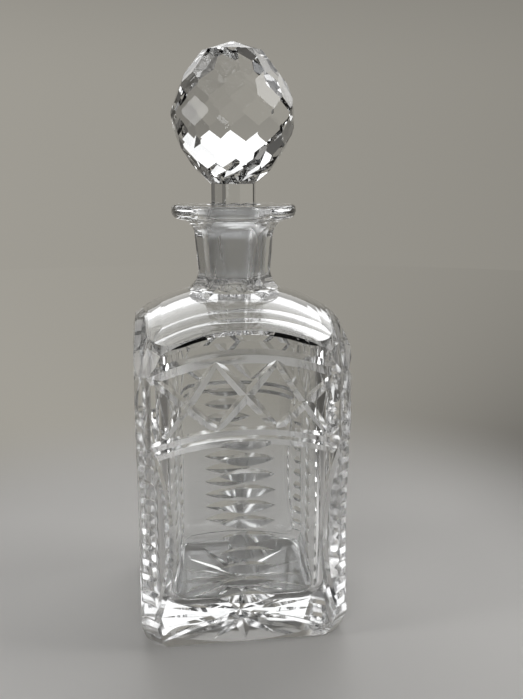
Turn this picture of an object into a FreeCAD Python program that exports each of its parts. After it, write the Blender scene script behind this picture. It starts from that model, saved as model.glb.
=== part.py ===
import FreeCAD, Part
import math
import os

from FreeCAD import Placement, Rotation, Vector

# Cut crystal spirit decanter: a square body with a round lip, and a faceted ball stopper
# whose ground plug sits in the neck. Millimetres, +Z up, origin at the centre of the base,
# front face towards -Y. The same cuts repeat on all four faces.

# ---------------------------------------------------------------- driving dimensions
HALF_WIDTH = 45.0           # body, centre to flat face
CORNER_LEG = 6.7            # each leg of the 45 degree corner column
FOOT_INSET = 2.4            # how far the foot sits inside the faces
FOOT_BEVEL_HEIGHT = 7.0
CORNER_FOOT_INSET = 3.4
CORNER_FOOT_HEIGHT = 9.0

DOME_TOP = 151.0            # shoulder dome, where it would meet the axis
DOME_RADIUS = 86.0
DOME_REACH = 70.0           # dome's half width, beyond the corners of the body

NECK_ROOT = 140.0           # where the neck piece starts, inside the dome
NECK_FLARE_RADIUS = 24.5    # where the neck's flare meets the dome
NECK_WAIST = (15.9, 156.5)  # radius and height at the narrowest point
NECK_THROAT = (17.3, 172.5)
NECK_FLUTES = 6
NECK_FLAT = 14.9            # centre to the middle of a neck flute
FLUTE_LOW = (23.0, 148.6)   # where a flute runs out on the shoulder
FLUTE_HIGH = (21.5, 177.4)  # where it runs out under the lip
FLUTE_FLAT_TOP = 170.0
LIP_TOP = 185.0
LIP_RADIUS = 27.2
LIP_UNDERSIDE = (24.4, 179.0)
LIP_EDGE_LOW = 182.0        # the lip's upright edge, before it rounds over to the top
LIP_EDGE_HIGH = 183.4
LIP_ROUND = 1.6

WALL = 8.5                  # glass between the cavity and a flat face
FLOOR = 15.0                # thickness of the solid base
CAVITY_CORNER = 13.0
CAVITY_FLOOR_ROUND = 8.0
DOME_WALL = 8.0
THROAT_RADIUS = 8.3
THROAT_FLARE = 5.0

PLUG_LOW = 155.0            # bottom of the ground plug
PLUG_HIGH = 183.6           # top of the ground plug, just inside the lip
PLUG_LOW_RADIUS = 8.45
PLUG_TAPER = 0.088          # growth of radius per millimetre of height
PLUG_EDGE = 1.2             # rounding of the plug's lower edge
GROUND_GAP = 0.05           # radial clearance between plug and socket
SOCKET_BELOW = 1.5          # how far the ground socket runs below the plug
SOCKET_LAP = 0.4            # how far the socket's cutter laps into the throat
SOCKET_ABOVE = 0.3          # how far the taper runs above the plug
MOUTH_CHAMFER = 1.1

BALL_CENTRE = 223.5
BALL_SIDES = 12             # facets in each row of the ball
SHANK_SIDES = 8
SHANK_FLAT = 9.2            # centre to a flat of the octagonal shank
STOPPER_TURN = -13.0        # how far the stopper is turned in the neck, degrees
# Rows of ball facets from the crown down: latitude, distance from the centre, half pitch on
BALL_ROWS = (
    (72.0, 27.68, False),
    (37.8, 25.27, False),
    (21.4, 24.89, True),
    (2.8, 25.65, False),
    (-17.0, 25.85, True),
    (-32.3, 26.22, False),
    (-45.1, 27.98, True),
)
BALL_FOOT_LATITUDE = -50.0  # the last row lies over the flats of the shank
BALL_FOOT_DISTANCE = 28.6

# Cuts on a face: heights are above the base, on the centre line of the face
LIFT = 1.0                  # how far every cutter stands out of the surface it cuts
ARCH_HEIGHT = 127.2         # wide arched groove at the top of the face
ARCH_RADIUS = 97.6
ARCH_HALF_WIDTH = 3.0
ARCH_DEPTH = 1.8
BAND_HEIGHT = 94.1          # pair of arched grooves with a ridge between them
BAND_RADIUS = 125.0
BAND_HALF_WIDTH = 1.95
BAND_DEPTH = 1.25
BASE_ARCH_HEIGHT = 14.2     # arch over the foot
BASE_ARCH_RADIUS = 73.2
# Profiles across the arched facets: distance out from the arch's own line, and depth
BASE_FACET = ((-19.0, -LIFT), (-19.0, 3.1), (-2.2, 0.6), (-1.1, 1.5), (0.0, 0.0), (0.7, -LIFT))
SIDE_FACET = ((-12.5, -LIFT), (-12.5, 2.4), (-3.4, 0.35), (-1.7, 1.7), (0.0, 0.0), (1.0, -LIFT))
SHOULDER_FACET = (
    (6.0, -LIFT), (6.0, 0.0), (8.6, 0.75), (12.6, 1.3), (18.0, 1.6), (18.0, -LIFT),
)
# Two facets that step up the shoulder: how far behind the face, and how far under the dome
SHOULDER_STEPS = ((0.4, 1.6), (6.4, 0.4), (12.0, 0.0))
SIDE_ARCH_X = 30.7          # innermost point of the curved line beside each column
SIDE_ARCH_HEIGHT = 50.5
SIDE_ARCH_RADIUS = 110.5

CROSS_HALF_WIDTH = 2.3      # the row of three crosses between the arched grooves
CROSS_DEPTH = 1.6
CROSS_WHEEL = 260.0
CROSS_X = 12.3              # where the strokes meet the arched grooves
CROSS_LOW = 96.6
CROSS_HIGH = 125.0
CROSS_OUTER_LOW = (33.5, 93.8)    # outer ends of the side crosses
CROSS_OUTER_HIGH = (37.2, 118.6)

LADDER_STEPS = 11           # lens shaped cuts up the middle of the face
LADDER_LOW = 22.0
LADDER_PITCH = 6.86
LADDER_HALF_LENGTH = 11.8
LADDER_HALF_HEIGHT = 2.9
LADDER_DEPTH = 2.6

NOTCH_COUNT = 12            # bars up each corner column
NOTCH_LOW = 12.0
NOTCH_HALF_HEIGHT = 1.9
NOTCH_DEPTH = 1.3
NOTCH_WHEEL = 40.0
SPEAR_LOW = 97.0            # upright pointed cut on the column, beside the crosses
SPEAR_HIGH = 118.0
SPEAR_HALF_WIDTH = 2.8
SPEAR_DEPTH = 1.7

SHOULDER_CORNER_LOW = 119.0  # where the corner facet of the shoulder begins
SHOULDER_CORNER_TILT = 18.0

STAR_CUTS = 8               # full cuts across the underside, making a star of sixteen points
STAR_RADIUS = 37.0
STAR_DEPTH = 1.5
STAR_HALF_WIDTH = 3.6

SHANK_LOW = PLUG_HIGH + 1.2
CORNER_DISTANCE = (2.0 * HALF_WIDTH - CORNER_LEG) / math.sqrt(2.0)
AXIS_Z = Vector(0, 0, 1)
ORIGIN = Vector(0, 0, 0)


# ---------------------------------------------------------------- general shapes
def polygon_face(points):
    return Part.Face(Part.makePolygon(points + [points[0]]))


def revolved(outline):
    """Solid of revolution about Z. The outline is a list of edges in the XZ plane."""
    return Part.Face(Part.Wire(outline)).revolve(ORIGIN, AXIS_Z, 360)


def line(a, b):
    return Part.LineSegment(Vector(a[0], 0, a[1]), Vector(b[0], 0, b[1])).toShape()


def arc(a, through, b):
    ends = [Vector(p[0], 0, p[1]) for p in (a, through, b)]
    return Part.Arc(*ends).toShape()


def sphere_height(radius, centre, r):
    """Height of a dome of the given radius at distance r from the axis."""
    return centre + math.sqrt(radius ** 2 - r ** 2)


def dome(radius, top, width, low):
    """A post of the given half width under a spherical dome."""
    centre = top - radius
    rim = (width, sphere_height(radius, centre, width))
    middle = (0.5 * width, sphere_height(radius, centre, 0.5 * width))
    outline = [
        line((0, low), (width, low)),
        line((width, low), rim),
        arc(rim, middle, (0, top)),
        line((0, top), (0, low)),
    ]
    return revolved(outline)


def on_face(shape, distance, turn):
    """Moves a cutter made on the XY plane (Y up the face, Z outwards) to an upright face."""
    moved = shape.copy()
    upright = Placement(Vector(0, -distance, 0), Rotation(Vector(1, 0, 0), 90))
    spin = Placement(ORIGIN, Rotation(AXIS_Z, turn))
    moved.Placement = spin.multiply(upright).multiply(shape.Placement)
    return moved


# ---------------------------------------------------------------- cutters, made on the XY plane
def ring_cut(centre_x, centre_y, profile):
    """Groove along a circle. The profile lists radius and depth, and closes above the surface."""
    points = [Vector(centre_x + radius, centre_y, -depth) for radius, depth in profile]
    return polygon_face(points).revolve(Vector(centre_x, centre_y, 0), AXIS_Z, 360)


def vee_profile(radius, half_width, depth):
    spread = half_width * (depth + LIFT) / depth
    return [(radius - spread, -LIFT), (radius, depth), (radius + spread, -LIFT)]


def facet_cut(centre_x, centre_y, radius, facet):
    """Arched facet and its border groove, given across the arch from its own line."""
    return ring_cut(centre_x, centre_y, [(radius + out, depth) for out, depth in facet])


def wheel_cut(start, end, half_width, depth, wheel):
    """Vee groove left by a cutting wheel that travels from start to end.

    It has its full depth midway, and is as deep at its ends as the wheel's radius makes it."""
    a = Vector(start[0], start[1], 0)
    b = Vector(end[0], end[1], 0)
    along = b.sub(a).normalize()
    across = AXIS_Z.cross(along)
    centre = a.add(b).multiply(0.5).add(Vector(0, 0, wheel - depth))
    spread = half_width * (depth + LIFT) / depth
    shoulder = Vector(0, 0, -(wheel - depth - LIFT))
    points = [
        centre.add(Vector(0, 0, -wheel)),
        centre.add(shoulder).add(Vector(across).multiply(spread)),
        centre.add(shoulder).sub(Vector(across).multiply(spread)),
    ]
    reach = math.degrees(math.asin(0.5 * a.distanceToPoint(b) / wheel))
    section = polygon_face(points)
    section.rotate(centre, across, -reach)
    return section.revolve(centre, across, 2.0 * reach)


def lens_cut(start, end, half_width, depth):
    """Pointed wheel cut that runs out to nothing at start and end."""
    half_length = 0.5 * math.dist(start, end)
    wheel = (half_length ** 2 + depth ** 2) / (2.0 * depth)
    overrun = 1.12
    mid_x = 0.5 * (start[0] + end[0])
    mid_y = 0.5 * (start[1] + end[1])
    longer = []
    for point in (start, end):
        longer.append((mid_x + overrun * (point[0] - mid_x), mid_y + overrun * (point[1] - mid_y)))
    return wheel_cut(longer[0], longer[1], half_width, depth, wheel)


def slab_cut(height, tilt, inset, reach=60.0):
    """Flat slice: everything beyond a plane that leans by tilt degrees from upright.

    The plane crosses the given height, inset millimetres behind the surface. A positive
    tilt leans the top inwards."""
    block = Part.makeBox(2 * reach, 2 * reach, reach, Vector(-reach, -reach, 0))
    block.rotate(ORIGIN, Vector(1, 0, 0), -tilt)
    block.translate(Vector(0, height, -inset))
    return block


# ---------------------------------------------------------------- the decanter's body
def body_blank():
    """Square post with 45 degree corners under the shoulder dome, with its neck and lip."""
    short = HALF_WIDTH - CORNER_LEG
    outline = []
    for step in range(4):
        for x, y in ((short, HALF_WIDTH), (HALF_WIDTH, short)):
            corner = Vector(x, y, 0)
            outline.append(Rotation(AXIS_Z, -90 * step).multVec(corner))
    post = polygon_face(outline).extrude(Vector(0, 0, DOME_TOP))
    return post.common(dome(DOME_RADIUS, DOME_TOP, DOME_REACH, -LIFT))


def neck_blank():
    """Neck that flares into the shoulder, and the mushroom lip, as one turned piece."""
    dome_height = sphere_height(DOME_RADIUS, DOME_TOP - DOME_RADIUS, NECK_FLARE_RADIUS)
    flare = (NECK_FLARE_RADIUS, dome_height - 0.3)
    edge_low = (LIP_RADIUS, LIP_EDGE_LOW)
    edge_high = (LIP_RADIUS - 0.1, LIP_EDGE_HIGH)
    rim = (LIP_RADIUS - LIP_ROUND, LIP_TOP)
    outline = [
        line((0, NECK_ROOT), (NECK_FLARE_RADIUS, NECK_ROOT)),
        line((NECK_FLARE_RADIUS, NECK_ROOT), flare),
        arc(flare, (18.6, 150.2), NECK_WAIST),
        line(NECK_WAIST, NECK_THROAT),
        arc(NECK_THROAT, (19.4, 176.9), LIP_UNDERSIDE),
        arc(LIP_UNDERSIDE, (26.4, 180.2), edge_low),
        line(edge_low, edge_high),
        arc(edge_high, (LIP_RADIUS - 0.55, 184.5), rim),
        line(rim, (0, LIP_TOP)),
        line((0, LIP_TOP), (0, NECK_ROOT)),
    ]
    return revolved(outline)


def neck_flute():
    """Flat flute up the neck, curving out to the shoulder below and to the lip above."""
    low = (NECK_FLAT, NECK_WAIST[1])
    high = (NECK_FLAT, FLUTE_FLAT_TOP)
    outline = [
        arc(FLUTE_LOW, (16.9, 150.9), low),
        line(low, high),
        arc(high, (16.2, 174.2), FLUTE_HIGH),
        line(FLUTE_HIGH, FLUTE_LOW),
    ]
    face = Part.Face(Part.Wire(outline))
    face.translate(Vector(0, -NECK_FLAT, 0))
    return face.extrude(Vector(0, 2 * NECK_FLAT, 0))


def cavity():
    """The room for the liquid, with the throat and the ground socket above it."""
    half = HALF_WIDTH - WALL
    room = Part.makeBox(2 * half, 2 * half, DOME_TOP, Vector(-half, -half, FLOOR))
    uprights = [e for e in room.Edges if abs(e.tangentAt(e.FirstParameter).z) > 0.9]
    room = room.makeFillet(CAVITY_CORNER, uprights)
    room = room.common(dome(DOME_RADIUS - DOME_WALL, DOME_TOP - DOME_WALL, DOME_REACH, -LIFT))
    low = [e for e in room.Edges if e.BoundBox.ZMax < FLOOR + 0.1]
    room = room.makeFillet(CAVITY_FLOOR_ROUND, low)
    socket_low = PLUG_LOW - SOCKET_BELOW
    throat_low = NECK_ROOT - 20.0
    room = room.fuse(Part.makeCylinder(THROAT_RADIUS, socket_low - throat_low, Vector(0, 0, throat_low)))
    mouth = [
        e for e in room.Edges
        if e.BoundBox.XMax < THROAT_RADIUS + 0.1 and e.BoundBox.ZLength < 0.1
        and throat_low + 1 < e.BoundBox.ZMin < socket_low - 1
    ]
    return room.makeFillet(THROAT_FLARE, mouth)


def plug_radius(height):
    return PLUG_LOW_RADIUS + PLUG_TAPER * (height - PLUG_LOW)


def ground_socket():
    low = PLUG_LOW - SOCKET_BELOW - SOCKET_LAP
    high = PLUG_HIGH + SOCKET_ABOVE
    narrow = plug_radius(low) + GROUND_GAP
    wide = plug_radius(high) + GROUND_GAP
    mouth = wide + MOUTH_CHAMFER
    clear = LIP_TOP + LIFT
    outline = [
        line((0, low), (narrow, low)),
        line((narrow, low), (wide, high)),
        line((wide, high), (mouth, LIP_TOP)),
        line((mouth, LIP_TOP), (mouth, clear)),
        line((mouth, clear), (0, clear)),
        line((0, clear), (0, low)),
    ]
    return revolved(outline)


def face_cutters():
    """Every cut on one face, in the face's own plane."""
    cutters = []
    arch_centre = ARCH_HEIGHT - ARCH_RADIUS
    cutters.append(ring_cut(0, arch_centre, vee_profile(ARCH_RADIUS, ARCH_HALF_WIDTH, ARCH_DEPTH)))
    cutters.append(facet_cut(0, arch_centre, ARCH_RADIUS, SHOULDER_FACET))
    cutters.append(shoulder_steps())
    band_centre = BAND_HEIGHT - BAND_RADIUS
    for side in (-1, 1):
        radius = BAND_RADIUS + side * BAND_HALF_WIDTH
        cutters.append(ring_cut(0, band_centre, vee_profile(radius, BAND_HALF_WIDTH, BAND_DEPTH)))
    base_centre = BASE_ARCH_HEIGHT - BASE_ARCH_RADIUS
    cutters.append(facet_cut(0, base_centre, BASE_ARCH_RADIUS, BASE_FACET))
    for side in (-1, 1):
        centre_x = side * (SIDE_ARCH_X + SIDE_ARCH_RADIUS)
        cutters.append(facet_cut(centre_x, SIDE_ARCH_HEIGHT, SIDE_ARCH_RADIUS, SIDE_FACET))
    cutters += cross_cutters()
    cutters += ladder_cutters()
    cutters.append(foot_bevel())
    return cutters


def shoulder_steps():
    """Arched facets above the face, that follow the dome up to where it is left round."""
    centre = DOME_TOP - DOME_RADIUS
    profile = []
    for behind, under in SHOULDER_STEPS:
        profile.append((math.sqrt(DOME_RADIUS ** 2 - (HALF_WIDTH - behind) ** 2) - under, behind))
    clear = DOME_RADIUS + LIFT
    profile += [(clear, profile[-1][1]), (clear, -LIFT), (profile[0][0], -LIFT)]
    return ring_cut(0, centre, profile)


def cross_cutters():
    """Three crosses in a row: six strokes between the arched grooves."""
    strokes = (
        ((-CROSS_X, CROSS_HIGH), (CROSS_X, CROSS_LOW)),
        ((CROSS_X, CROSS_HIGH), CROSS_OUTER_LOW),
        ((CROSS_X, CROSS_LOW), CROSS_OUTER_HIGH),
    )
    cutters = []
    for start, end in strokes:
        for side in (-1, 1):
            a = (side * start[0], start[1])
            b = (side * end[0], end[1])
            cutters.append(wheel_cut(a, b, CROSS_HALF_WIDTH, CROSS_DEPTH, CROSS_WHEEL))
    return cutters


def ladder_cutters():
    cutters = []
    for step in range(LADDER_STEPS):
        height = LADDER_LOW + step * LADDER_PITCH
        ends = ((-LADDER_HALF_LENGTH, height), (LADDER_HALF_LENGTH, height))
        cutters.append(lens_cut(*ends, LADDER_HALF_HEIGHT, LADDER_DEPTH))
    return cutters


def foot_bevel():
    tilt = math.degrees(math.atan2(FOOT_INSET, FOOT_BEVEL_HEIGHT))
    return slab_cut(0, -tilt, FOOT_INSET)


def column_cutters():
    """Every cut on one corner column, in the column's own plane."""
    cutters = []
    half = 0.75 * CORNER_LEG * math.sqrt(2.0)
    for step in range(NOTCH_COUNT):
        height = NOTCH_LOW + step * LADDER_PITCH
        notch = wheel_cut((-half, height), (half, height), NOTCH_HALF_HEIGHT, NOTCH_DEPTH, NOTCH_WHEEL)
        cutters.append(notch)
    cutters.append(lens_cut((0, SPEAR_LOW), (0, SPEAR_HIGH), SPEAR_HALF_WIDTH, SPEAR_DEPTH))
    tilt = math.degrees(math.atan2(CORNER_FOOT_INSET, CORNER_FOOT_HEIGHT))
    cutters.append(slab_cut(0, -tilt, CORNER_FOOT_INSET))
    cutters.append(slab_cut(SHOULDER_CORNER_LOW, SHOULDER_CORNER_TILT, 0))
    return cutters


def star_cutters():
    """Star on the underside: wheel cuts through the centre, running out before the foot's edge."""
    cutters = []
    for step in range(STAR_CUTS):
        angle = math.radians(step * 180.0 / STAR_CUTS)
        end = (STAR_RADIUS * math.cos(angle), STAR_RADIUS * math.sin(angle))
        cut = lens_cut((-end[0], -end[1]), end, STAR_HALF_WIDTH, STAR_DEPTH)
        cut.rotate(ORIGIN, Vector(1, 0, 0), 180)
        cutters.append(cut)
    return cutters


def cut_in_turn(shape, cutters):
    for cutter in cutters:
        shape = shape.cut(cutter)
    return shape


def quarter_body():
    """The quarter of the body behind its front face, between the two diagonals, fully cut."""
    reach = 2.0 * HALF_WIDTH
    corners = [Vector(0, 0, -LIFT), Vector(reach, -reach, -LIFT), Vector(-reach, -reach, -LIFT)]
    wedge = polygon_face(corners).extrude(Vector(0, 0, DOME_TOP + 2 * LIFT))
    quarter = body_blank().common(wedge)
    quarter = cut_in_turn(quarter, [on_face(c, HALF_WIDTH, 0) for c in face_cutters()])
    for side in (-45, 45):
        columns = [on_face(c, CORNER_DISTANCE, side) for c in column_cutters()]
        quarter = cut_in_turn(quarter, columns)
    return quarter


def fluted_neck():
    flutes = []
    for step in range(NECK_FLUTES):
        cutter = neck_flute()
        cutter.rotate(ORIGIN, AXIS_Z, -90 + step * 360.0 / NECK_FLUTES)
        flutes.append(cutter)
    return cut_in_turn(neck_blank(), flutes)


def decanter_body():
    quarter = quarter_body()
    body = quarter
    for turn in (90, 180, 270):
        copy = quarter.copy()
        copy.rotate(ORIGIN, AXIS_Z, turn)
        body = body.fuse(copy)
    body = body.removeSplitter()
    body = cut_in_turn(body, star_cutters())
    body = body.fuse(fluted_neck())
    return cut_in_turn(body, [cavity(), ground_socket()])


# ---------------------------------------------------------------- the stopper
def half_space(normal, distance, origin):
    """A large block that covers everything beyond a plane."""
    block = Part.makeBox(160, 160, 80, Vector(-80, -80, 0))
    block.rotate(ORIGIN, Vector(0, 1, 0), math.degrees(math.acos(normal.z)))
    block.rotate(ORIGIN, AXIS_Z, math.degrees(math.atan2(normal.y, normal.x)))
    block.translate(origin.add(Vector(normal).multiply(distance)))
    return block


def facet_normal(latitude, azimuth):
    flat = math.cos(math.radians(latitude))
    c = math.cos(math.radians(azimuth))
    s = math.sin(math.radians(azimuth))
    return Vector(flat * c, flat * s, math.sin(math.radians(latitude)))


def cut_row(shape, sides, latitude, distance, staggered, origin):
    """Cuts one row of flat facets, evenly spaced round the axis."""
    pitch = 360.0 / sides
    first = -90 + STOPPER_TURN + (0.5 * pitch if staggered else 0.0)
    for step in range(sides):
        normal = facet_normal(latitude, first + step * pitch)
        shape = shape.cut(half_space(normal, distance, origin))
    return shape


def faceted_ball():
    """Ball cut with staggered rows of flat facets, pear shaped towards the shank."""
    ball = Part.makeCylinder(40, 70, Vector(0, 0, SHANK_LOW + 8))
    centre = Vector(0, 0, BALL_CENTRE)
    for latitude, distance, staggered in BALL_ROWS:
        ball = cut_row(ball, BALL_SIDES, latitude, distance, staggered, centre)
    return cut_row(ball, SHANK_SIDES, BALL_FOOT_LATITUDE, BALL_FOOT_DISTANCE, False, centre)


def shank():
    """Octagonal shank from the plug up into the ball."""
    foot = Vector(0, 0, SHANK_LOW)
    return cut_row(Part.makeCylinder(20, 30, foot), SHANK_SIDES, 0, SHANK_FLAT, False, foot)


def ground_plug():
    low = plug_radius(PLUG_LOW)
    rounded = plug_radius(PLUG_LOW + PLUG_EDGE)
    bend = 0.3 * PLUG_EDGE
    top = plug_radius(PLUG_HIGH)
    lap = SHANK_LOW + 0.6
    outline = [
        line((0, PLUG_LOW), (low - PLUG_EDGE, PLUG_LOW)),
        arc((low - PLUG_EDGE, PLUG_LOW), (low - bend, PLUG_LOW + bend), (rounded, PLUG_LOW + PLUG_EDGE)),
        line((rounded, PLUG_LOW + PLUG_EDGE), (top, PLUG_HIGH)),
        line((top, PLUG_HIGH), (SHANK_FLAT, lap)),
        line((SHANK_FLAT, lap), (0, lap)),
        line((0, lap), (0, PLUG_LOW)),
    ]
    return revolved(outline)


def stopper():
    return faceted_ball().fuse([shank(), ground_plug()])


# ---------------------------------------------------------------- write the pieces
def write(name, shape):
    shape = shape.removeSplitter()
    solids = shape.Solids
    if len(solids) != 1 or not solids[0].isValid():
        raise ValueError(name + " is not one valid solid")
    solids[0].exportStep("parts/" + name + ".step")
    box = solids[0].BoundBox
    print(name, "volume cm3", round(solids[0].Volume / 1000, 1), "faces", len(solids[0].Faces))
    print("  z", round(box.ZMin, 2), round(box.ZMax, 2), "x", round(box.XMin, 2), round(box.XMax, 2))


os.makedirs("parts", exist_ok=True)
write("decanter_body", decanter_body())
write("stopper", stopper())
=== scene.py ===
import math

import bpy
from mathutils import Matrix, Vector


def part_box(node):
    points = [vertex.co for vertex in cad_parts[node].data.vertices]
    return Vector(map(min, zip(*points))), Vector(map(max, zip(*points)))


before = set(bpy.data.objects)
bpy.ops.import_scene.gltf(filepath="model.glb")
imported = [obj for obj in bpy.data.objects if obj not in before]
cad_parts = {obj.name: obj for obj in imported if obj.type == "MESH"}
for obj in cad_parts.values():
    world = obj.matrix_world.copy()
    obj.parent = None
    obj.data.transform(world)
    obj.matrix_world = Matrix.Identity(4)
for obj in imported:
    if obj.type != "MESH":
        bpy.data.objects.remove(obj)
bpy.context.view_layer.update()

# ---------------------------------------------------------------- sizes from the frame, in metres
body_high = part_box("decanter_body")[1]
stopper_low, stopper_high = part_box("stopper")
HALF_WIDTH = body_high.x        # centre of the body to a flat face
LIP_TOP = body_high.z
PLUG_LOW = stopper_low.z
TOTAL_HEIGHT = stopper_high.z

# ---------------------------------------------------------------- camera
CAMERA_PLACE = Vector((-0.03945, -0.36978, 0.20087))
CAMERA_HEADING = 7.96           # degrees from +Y towards +X
CAMERA_PITCH = 12.25            # degrees below the horizon
LENS_MM = 43.265
SENSOR_MM = 36.0
NEAREST_SEEN = 0.01             # metres from the camera

# ---------------------------------------------------------------- glass
LEAD_CRYSTAL_IOR = 1.54
CRYSTAL_TINT = (0.985, 0.99, 0.99, 1.0)
POLISH_ROUGHNESS = 0.012
WAVE_SCALE = 40.0               # the waves are about 25 mm long
WAVE_DETAIL = 1.0
WAVE_STRENGTH = 0.05
WAVE_DEPTH = 0.0006

# The ground taper of plug and socket is frosted.
GROUND_LOW = PLUG_LOW - 0.0018  # the socket is ground a little below the plug
GROUND_HIGH = LIP_TOP - 0.0012
GROUND_REACH = 0.0118           # both ground surfaces are nearer to the axis than this
GROUND_TINT = (0.86, 0.865, 0.87, 1.0)
GROUND_ROUGHNESS = 0.30
GRAIN_ROUGHNESS = 0.12          # what the strongest grain adds to it
GRAIN_SCALE = 900.0
GRAIN_DETAIL = 3.0

# Surfaces that lie a little inside the flat faces are satin: the wheel cuts and facets, and with
# them the outer strips of the corner columns and of the foot.
CUT_ROUGHNESS = 0.12
CUT_DEEPEST = HALF_WIDTH - 0.0038
CUT_SHALLOWEST = HALF_WIDTH - 0.00008
CUT_TOP = LIP_TOP - 0.0535

# ---------------------------------------------------------------- studio
FLOOR_RADIUS = 1.4
FLOOR_SIDES = 96
FLOOR_DROP = 0.0002             # keeps the floor clear of the foot
FLOOR_PALE = (0.66, 0.645, 0.62, 1.0)
FLOOR_ROUGHNESS = 0.35
FADE_START = 0.14               # from the centre, where the floor fades to the surroundings' colour
FADE_END = 0.34

BACKDROP_GREY = (0.330, 0.315, 0.280, 1.0)
SIDE_DARK = (0.115, 0.110, 0.102, 1.0)
UPPER_DARK = (0.03, 0.032, 0.035, 1.0)
DARK_UNTIL = 0.30               # Y of a unit direction, dark up to here
GREY_FROM = 1.00                # and the backdrop's grey here
SIDE_SLOPE = 0.30               # how much lighter the left side is
RISE_START = 0.08               # Z of a unit direction, where the studio starts to darken upwards
RISE_END = 0.55

GLASS_BOUNCES = 32
GLOSSY_BOUNCES = 8


# ---------------------------------------------------------------- shader nodes
def new_material(name):
    material = bpy.data.materials.new(name)
    material.use_nodes = True
    material.node_tree.nodes.clear()
    return material, material.node_tree


def calculate(tree, operation, *values):
    """A Math node: each value is a number or an output of another node."""
    node = tree.nodes.new("ShaderNodeMath")
    node.operation = operation
    for index, value in enumerate(values):
        if isinstance(value, (int, float)):
            node.inputs[index].default_value = value
        else:
            tree.links.new(value, node.inputs[index])
    return node.outputs[0]


def vector_math(tree, operation, vector):
    node = tree.nodes.new("ShaderNodeVectorMath")
    node.operation = operation
    tree.links.new(vector, node.inputs[0])
    return node


def separate(tree, vector):
    node = tree.nodes.new("ShaderNodeSeparateXYZ")
    tree.links.new(vector, node.inputs[0])
    return node.outputs["X"], node.outputs["Y"], node.outputs["Z"]


def within(tree, value, low, high):
    """1 between low and high, 0 outside."""
    above = calculate(tree, "GREATER_THAN", value, low)
    below = calculate(tree, "LESS_THAN", value, high)
    return calculate(tree, "MULTIPLY", above, below)


def smooth_step(tree, value, start, end):
    """0 up to start and 1 from end, with an even curve between them."""
    node = tree.nodes.new("ShaderNodeMapRange")
    node.interpolation_type = "SMOOTHSTEP"
    node.inputs["From Min"].default_value = start
    node.inputs["From Max"].default_value = end
    tree.links.new(value, node.inputs["Value"])
    return node.outputs["Result"]


def mix_colours(tree, factor, first, second):
    """First where the factor is 0, second where it is 1: each is a colour or a node's output."""
    node = tree.nodes.new("ShaderNodeMix")
    node.data_type = "RGBA"
    tree.links.new(factor, node.inputs["Factor"])
    for socket, colour in (("A", first), ("B", second)):
        if isinstance(colour, tuple):
            node.inputs[socket].default_value = colour
        else:
            tree.links.new(colour, node.inputs[socket])
    return node.outputs["Result"]


def noise(tree, place, scale, detail):
    node = tree.nodes.new("ShaderNodeTexNoise")
    node.inputs["Scale"].default_value = scale
    node.inputs["Detail"].default_value = detail
    tree.links.new(place, node.inputs["Vector"])
    return node.outputs["Fac"]


# ---------------------------------------------------------------- crystal
def ground_mask(tree, x, y, z):
    """1 on the ground taper of plug and socket, 0 elsewhere."""
    square_x = calculate(tree, "POWER", x, 2.0)
    square_y = calculate(tree, "POWER", y, 2.0)
    from_axis = calculate(tree, "SQRT", calculate(tree, "ADD", square_x, square_y))
    near = calculate(tree, "LESS_THAN", from_axis, GROUND_REACH)
    return calculate(tree, "MULTIPLY", within(tree, z, GROUND_LOW, GROUND_HIGH), near)


def cut_mask(tree, x, y, z):
    """1 on surfaces a little inside the flat faces, up to CUT_TOP, and 0 elsewhere."""
    wide_x = calculate(tree, "ABSOLUTE", x)
    wide_y = calculate(tree, "ABSOLUTE", y)
    outward = calculate(tree, "MAXIMUM", wide_x, wide_y)
    low = calculate(tree, "LESS_THAN", z, CUT_TOP)
    return calculate(tree, "MULTIPLY", within(tree, outward, CUT_DEEPEST, CUT_SHALLOWEST), low)


def crystal_roughness(tree, place, ground, cut):
    polish = calculate(tree, "MULTIPLY_ADD", cut, CUT_ROUGHNESS - POLISH_ROUGHNESS, POLISH_ROUGHNESS)
    grain = noise(tree, place, GRAIN_SCALE, GRAIN_DETAIL)
    frost = calculate(tree, "MULTIPLY_ADD", grain, GRAIN_ROUGHNESS, GROUND_ROUGHNESS)
    blend = tree.nodes.new("ShaderNodeMapRange")
    tree.links.new(ground, blend.inputs["Value"])
    tree.links.new(polish, blend.inputs["To Min"])
    tree.links.new(frost, blend.inputs["To Max"])
    return blend.outputs["Result"]


def crystal_waves(tree, place):
    bump = tree.nodes.new("ShaderNodeBump")
    bump.inputs["Strength"].default_value = WAVE_STRENGTH
    bump.inputs["Distance"].default_value = WAVE_DEPTH
    tree.links.new(noise(tree, place, WAVE_SCALE, WAVE_DETAIL), bump.inputs["Height"])
    return bump.outputs["Normal"]


def crystal(name):
    """Slightly wavy polished lead crystal, satin where cut and frosted where ground."""
    material, tree = new_material(name)
    output = tree.nodes.new("ShaderNodeOutputMaterial")
    shader = tree.nodes.new("ShaderNodeBsdfPrincipled")
    shader.inputs["IOR"].default_value = LEAD_CRYSTAL_IOR
    shader.inputs["Transmission Weight"].default_value = 1.0
    place = tree.nodes.new("ShaderNodeTexCoord").outputs["Object"]
    x, y, z = separate(tree, place)
    ground = ground_mask(tree, x, y, z)
    cut = cut_mask(tree, x, y, z)
    tree.links.new(mix_colours(tree, ground, CRYSTAL_TINT, GROUND_TINT), shader.inputs["Base Color"])
    tree.links.new(crystal_roughness(tree, place, ground, cut), shader.inputs["Roughness"])
    tree.links.new(crystal_waves(tree, place), shader.inputs["Normal"])
    tree.links.new(shader.outputs["BSDF"], output.inputs["Surface"])
    return material


def paint(node, material):
    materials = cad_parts[node].data.materials
    if not materials:
        materials.append(material)
    for index in range(len(materials)):
        materials[index] = material


paint("decanter_body", crystal("body_crystal_clear"))
paint("stopper", crystal("stopper_crystal_clear"))


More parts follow.
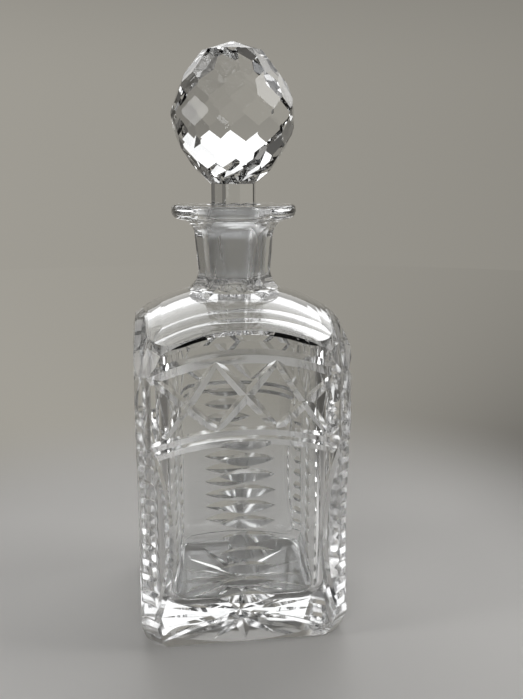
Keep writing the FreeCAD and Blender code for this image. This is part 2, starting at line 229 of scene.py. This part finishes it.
# ---------------------------------------------------------------- surroundings and floor
def surroundings(tree, direction):
    """Colour of the studio's light in a direction: grey behind the object, darker beside and in
    front. The world shines with it, and the floor's outer part glows with it as painted light.
    """
    x, y, _ = separate(tree, direction)
    tone = mix_colours(tree, smooth_step(tree, y, DARK_UNTIL, GREY_FROM), SIDE_DARK, BACKDROP_GREY)
    scaled = vector_math(tree, "SCALE", tone)
    tree.links.new(calculate(tree, "MULTIPLY_ADD", x, -SIDE_SLOPE, 1.0), scaled.inputs["Scale"])
    return scaled.outputs["Vector"]


def graded_floor():
    """Pale near the decanter. Further out the floor glows with the surroundings' colour as painted
    light, darker beside the object and lighter to the left, so no horizon shows.
    """
    material, tree = new_material("floor_pale_with_painted_glow")
    output = tree.nodes.new("ShaderNodeOutputMaterial")
    near = tree.nodes.new("ShaderNodeBsdfPrincipled")
    near.inputs["Base Color"].default_value = FLOOR_PALE
    near.inputs["Roughness"].default_value = FLOOR_ROUGHNESS
    place = tree.nodes.new("ShaderNodeTexCoord").outputs["Object"]
    outward = vector_math(tree, "NORMALIZE", place).outputs["Vector"]
    # painted light: the outer floor is an emitter that glows with the surroundings' colour, and the
    # lamps do not light it
    painted_glow = tree.nodes.new("ShaderNodeEmission")
    tree.links.new(surroundings(tree, outward), painted_glow.inputs["Color"])
    distance = vector_math(tree, "LENGTH", place).outputs["Value"]
    blend = tree.nodes.new("ShaderNodeMixShader")
    tree.links.new(smooth_step(tree, distance, FADE_START, FADE_END), blend.inputs["Fac"])
    tree.links.new(near.outputs["BSDF"], blend.inputs[1])
    tree.links.new(painted_glow.outputs["Emission"], blend.inputs[2])
    tree.links.new(blend.outputs["Shader"], output.inputs["Surface"])
    return material


def round_floor():
    rim = []
    for step in range(FLOOR_SIDES):
        angle = 2 * math.pi * step / FLOOR_SIDES
        rim.append((FLOOR_RADIUS * math.cos(angle), FLOOR_RADIUS * math.sin(angle), 0))
    mesh = bpy.data.meshes.new("floor")
    mesh.from_pydata(rim, [], [tuple(range(FLOOR_SIDES))])
    mesh.materials.append(graded_floor())
    floor = bpy.data.objects.new("floor", mesh)
    floor.location.z = -FLOOR_DROP
    bpy.context.scene.collection.objects.link(floor)


def studio_world():
    """The surroundings' colour at the horizon, darkening upwards."""
    world = bpy.data.worlds.new("studio")
    world.use_nodes = True
    tree = world.node_tree
    direction = tree.nodes.new("ShaderNodeTexCoord").outputs["Generated"]
    height = separate(tree, direction)[2]
    rise = smooth_step(tree, height, RISE_START, RISE_END)
    sky = mix_colours(tree, rise, surroundings(tree, direction), UPPER_DARK)
    tree.links.new(sky, tree.nodes["Background"].inputs["Color"])
    bpy.context.scene.world = world


round_floor()
studio_world()


# ---------------------------------------------------------------- light
def softbox(name, place, width, height, watts):
    """A soft rectangular light that faces the middle of the decanter."""
    light = bpy.data.lights.new(name, "AREA")
    light.shape = "RECTANGLE"
    light.size = width
    light.size_y = height
    light.energy = watts
    lamp = bpy.data.objects.new(name, light)
    lamp.location = place
    middle = Vector((0, 0, 0.5 * TOTAL_HEIGHT))
    lamp.rotation_euler = (middle - Vector(place)).to_track_quat("-Z", "Y").to_euler()
    bpy.context.scene.collection.objects.link(lamp)


softbox("key_behind", place=(0.15, 0.85, 1.0), width=1.7, height=1.1, watts=7)
softbox("window_right", place=(0.95, -0.1, 0.5), width=0.4, height=0.9, watts=4)
softbox("fill_left", place=(-0.95, -0.15, 0.45), width=0.25, height=0.8, watts=2.2)
softbox("fill_front", place=(-0.35, -1.1, 0.9), width=0.7, height=0.5, watts=3.5)


# ---------------------------------------------------------------- camera object
def place_camera():
    data = bpy.data.cameras.new("camera")
    data.lens = LENS_MM
    data.sensor_width = SENSOR_MM
    data.sensor_fit = "AUTO"
    data.clip_start = NEAREST_SEEN
    camera = bpy.data.objects.new("camera", data)
    heading = math.radians(CAMERA_HEADING)
    pitch = math.radians(CAMERA_PITCH)
    level = math.cos(pitch)
    look = Vector((math.sin(heading) * level, math.cos(heading) * level, -math.sin(pitch)))
    camera.location = CAMERA_PLACE
    camera.rotation_euler = look.to_track_quat("-Z", "Y").to_euler()
    bpy.context.scene.collection.objects.link(camera)
    bpy.context.scene.camera = camera


place_camera()

bpy.context.scene.cycles.max_bounces = GLASS_BOUNCES
bpy.context.scene.cycles.transmission_bounces = GLASS_BOUNCES
bpy.context.scene.cycles.glossy_bounces = GLOSSY_BOUNCES
bpy.context.scene.view_settings.view_transform = "Standard"
